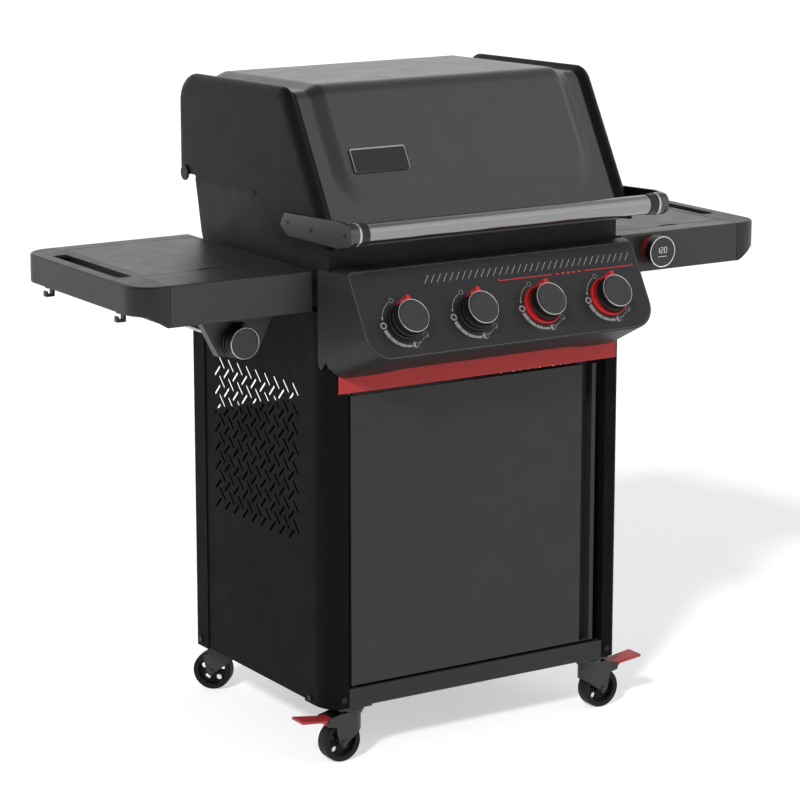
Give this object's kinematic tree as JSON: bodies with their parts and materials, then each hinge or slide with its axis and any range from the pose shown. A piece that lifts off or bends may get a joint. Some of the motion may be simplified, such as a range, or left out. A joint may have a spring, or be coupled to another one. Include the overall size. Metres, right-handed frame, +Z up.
{
  "type": "gas barbecue grill",
  "caption": "Gas barbecue grill with a lidded firebox, tilted control panel, side tables with a side burner, and a wheeled cabinet with a door.",
  "frame": {"origin": "on the floor, under the middle of the bounding box", "axes": "+X to the right as the cook stands, -Y towards the cook, +Z up"},
  "size_m": [1.344, 0.6768, 1.209],
  "materials": {
    "powder_black": "satin powder coat",
    "door_grey": "satin powder coat",
    "red_paint": "satin powder coat",
    "hood_enamel": "semi-gloss enamel",
    "cap_paint": "satin paint on cast aluminium",
    "firebox_paint": "high-temperature paint on cast aluminium",
    "stainless": "polished",
    "bracket_metal": "satin",
    "heat_steel": "brushed",
    "grate_iron": "enamelled",
    "brass": "turned",
    "black_plastic": "fine grain",
    "knob_plastic": "satin with metal rim",
    "red_plastic": "satin",
    "display": "gloss",
    "rim_metal": "satin",
    "tray_aluminium": "satin",
    "caster_grey": "satin",
    "wheel_rubber": "matte",
    "bolt_black": "black oxide"
  },
  "bodies": {
    "cart": {"bottom_panel": "powder_black", "side_panels": "powder_black", "front_posts": "powder_black", "rear_posts": "powder_black", "bottom_front_rail": "powder_black", "red_crossbar": "red_paint", "rear_panel": "powder_black", "cart_bolts": "bolt_black", "cookbox": "firebox_paint", "burner_tubes": "heat_steel", "heat_tents": "heat_steel", "cooking_grates": "grate_iron", "warming_rack": "heat_steel", "gas_manifold": "stainless", "burner_valves": "brass", "control_housing": "black_plastic", "black_bezels": "black_plastic", "red_bezels": "red_plastic", "tool_hooks": "black_plastic", "left_table": "powder_black", "right_table": "powder_black", "table_end_caps": "black_plastic", "side_burner_bowl": "firebox_paint", "side_burner_head": "grate_iron", "side_burner_grate": "grate_iron", "side_burner_bracket": "powder_black", "controller_housing": "black_plastic", "caster_plates": "caster_grey"},
    "hood": {"hood_shroud": "hood_enamel", "hood_end_caps": "cap_paint", "hood_hinge_pins": "bolt_black", "handle_tube": "stainless", "handle_brackets": "bracket_metal", "badge_plate": "rim_metal"},
    "door": {"door_panel": "door_grey"},
    "burner_lid": {"side_burner_lid": "powder_black"},
    "table_insert": {"right_table_insert": "powder_black"},
    "tray": {"grease_tray": "tray_aluminium"},
    "side_stem": {"side_burner_stem": "brass"},
    "side_knob": {"side_burner_knob": "knob_plastic"},
    "controller_dial": {"controller_ring": "rim_metal"},
    "controller_button": {"controller_display": "display"},
    "stem_1": {"burner_stem_1": "brass"},
    "knob_1": {"burner_knob_1": "knob_plastic"},
    "stem_2": {"burner_stem_2": "brass"},
    "knob_2": {"burner_knob_2": "knob_plastic"},
    "stem_3": {"burner_stem_3": "brass"},
    "knob_3": {"burner_knob_3": "knob_plastic"},
    "stem_4": {"burner_stem_4": "brass"},
    "knob_4": {"burner_knob_4": "knob_plastic"},
    "caster_front_left": {"caster_fork_front_left": "caster_grey"},
    "wheel_front_left": {"caster_wheel_front_left": "wheel_rubber"},
    "pedal_front_left": {"brake_pedal_front_left": "red_plastic"},
    "caster_front_right": {"caster_fork_front_right": "caster_grey"},
    "wheel_front_right": {"caster_wheel_front_right": "wheel_rubber"},
    "pedal_front_right": {"brake_pedal_front_right": "red_plastic"},
    "caster_rear_left": {"caster_fork_rear_left": "caster_grey"},
    "wheel_rear_left": {"caster_wheel_rear_left": "wheel_rubber"},
    "caster_rear_right": {"caster_fork_rear_right": "caster_grey"},
    "wheel_rear_right": {"caster_wheel_rear_right": "wheel_rubber"}
  },
  "joints": [
    {"name": "hood_hinge", "type": "hinge", "parent": "cart", "child": "hood", "pos_m": [0, 0.28606, 1.0145], "axis": [-1, 0, 0], "range_deg": [0, 80]},
    {"name": "door_hinge", "type": "hinge", "parent": "cart", "child": "door", "pos_m": [-0.265, -0.19594, 0.4], "axis": [0, 0, -1], "range_deg": [0, 105]},
    {"name": "burner_lid_hinge", "type": "hinge", "parent": "cart", "child": "burner_lid", "pos_m": [-0.473, 0.24006, 0.896], "axis": [-1, 0, 0], "range_deg": [0, 92]},
    {"name": "insert_lift", "type": "slide", "parent": "cart", "child": "table_insert", "axis": [0, 0, 1], "range_m": [0, 0.06]},
    {"name": "tray_slide", "type": "slide", "parent": "cart", "child": "tray", "axis": [0, 1, 0], "range_m": [0, 0.3]},
    {"name": "side_burner_push", "type": "slide", "parent": "cart", "child": "side_stem", "axis": [0, 1, 0], "range_m": [0, 0.003], "stiffness_N_per_m": 800, "springref_m": -0.003},
    {"name": "side_burner_turn", "type": "hinge", "parent": "side_stem", "child": "side_knob", "pos_m": [-0.457, -0.14594, 0.782], "axis": [0, -1, 0], "range_deg": [0, 225]},
    {"name": "controller_turn", "type": "hinge", "parent": "cart", "child": "controller_dial", "pos_m": [0.408, -0.20394, 0.8685], "axis": [0, -1, 0], "continuous": true},
    {"name": "controller_push", "type": "slide", "parent": "cart", "child": "controller_button", "axis": [0, 1, 0], "range_m": [0, 0.001], "stiffness_N_per_m": 600, "springref_m": -0.001},
    {"name": "burner_1_push", "type": "slide", "parent": "cart", "child": "stem_1", "axis": [0, 0.866, -0.5], "range_m": [0, 0.003], "stiffness_N_per_m": 800, "springref_m": -0.003},
    {"name": "burner_1_turn", "type": "hinge", "parent": "stem_1", "child": "knob_1", "pos_m": [-0.21735, -0.31076, 0.8272], "axis": [0, -0.866, 0.5], "range_deg": [0, 225]},
    {"name": "burner_2_push", "type": "slide", "parent": "cart", "child": "stem_2", "axis": [0, 0.866, -0.5], "range_m": [0, 0.003], "stiffness_N_per_m": 800, "springref_m": -0.003},
    {"name": "burner_2_turn", "type": "hinge", "parent": "stem_2", "child": "knob_2", "pos_m": [-0.07245, -0.31076, 0.8272], "axis": [0, -0.866, 0.5], "range_deg": [0, 225]},
    {"name": "burner_3_push", "type": "slide", "parent": "cart", "child": "stem_3", "axis": [0, 0.866, -0.5], "range_m": [0, 0.003], "stiffness_N_per_m": 800, "springref_m": -0.003},
    {"name": "burner_3_turn", "type": "hinge", "parent": "stem_3", "child": "knob_3", "pos_m": [0.07245, -0.31076, 0.8272], "axis": [0, -0.866, 0.5], "range_deg": [0, 225]},
    {"name": "burner_4_push", "type": "slide", "parent": "cart", "child": "stem_4", "axis": [0, 0.866, -0.5], "range_m": [0, 0.003], "stiffness_N_per_m": 800, "springref_m": -0.003},
    {"name": "burner_4_turn", "type": "hinge", "parent": "stem_4", "child": "knob_4", "pos_m": [0.21735, -0.31076, 0.8272], "axis": [0, -0.866, 0.5], "range_deg": [0, 225]},
    {"name": "front_left_swivel", "type": "hinge", "parent": "cart", "child": "caster_front_left", "pos_m": [-0.264, -0.18394, 0.09], "axis": [0, 0, 1], "continuous": true},
    {"name": "front_left_roll", "type": "hinge", "parent": "caster_front_left", "child": "wheel_front_left", "pos_m": [-0.288, -0.18394, 0.0375], "axis": [0, 1, 0], "continuous": true},
    {"name": "front_left_brake", "type": "hinge", "parent": "caster_front_left", "child": "pedal_front_left", "pos_m": [-0.315, -0.18394, 0.079], "axis": [0, -1, 0], "range_deg": [0, 12]},
    {"name": "front_right_swivel", "type": "hinge", "parent": "cart", "child": "caster_front_right", "pos_m": [0.264, -0.18394, 0.09], "axis": [0, 0, 1], "continuous": true},
    {"name": "front_right_roll", "type": "hinge", "parent": "caster_front_right", "child": "wheel_front_right", "pos_m": [0.288, -0.18394, 0.0375], "axis": [0, 1, 0], "continuous": true},
    {"name": "front_right_brake", "type": "hinge", "parent": "caster_front_right", "child": "pedal_front_right", "pos_m": [0.315, -0.18394, 0.079], "axis": [0, 1, 0], "range_deg": [0, 12]},
    {"name": "rear_left_swivel", "type": "hinge", "parent": "cart", "child": "caster_rear_left", "pos_m": [-0.26, 0.28606, 0.09], "axis": [0, 0, 1], "continuous": true},
    {"name": "rear_left_roll", "type": "hinge", "parent": "caster_rear_left", "child": "wheel_rear_left", "pos_m": [-0.27697, 0.30303, 0.0375], "axis": [0.7071, 0.7071, 0], "continuous": true},
    {"name": "rear_right_swivel", "type": "hinge", "parent": "cart", "child": "caster_rear_right", "pos_m": [0.26, 0.28606, 0.09], "axis": [0, 0, 1], "continuous": true},
    {"name": "rear_right_roll", "type": "hinge", "parent": "caster_rear_right", "child": "wheel_rear_right", "pos_m": [0.27697, 0.30303, 0.0375], "axis": [-0.7071, 0.7071, 0], "continuous": true}
  ]
}
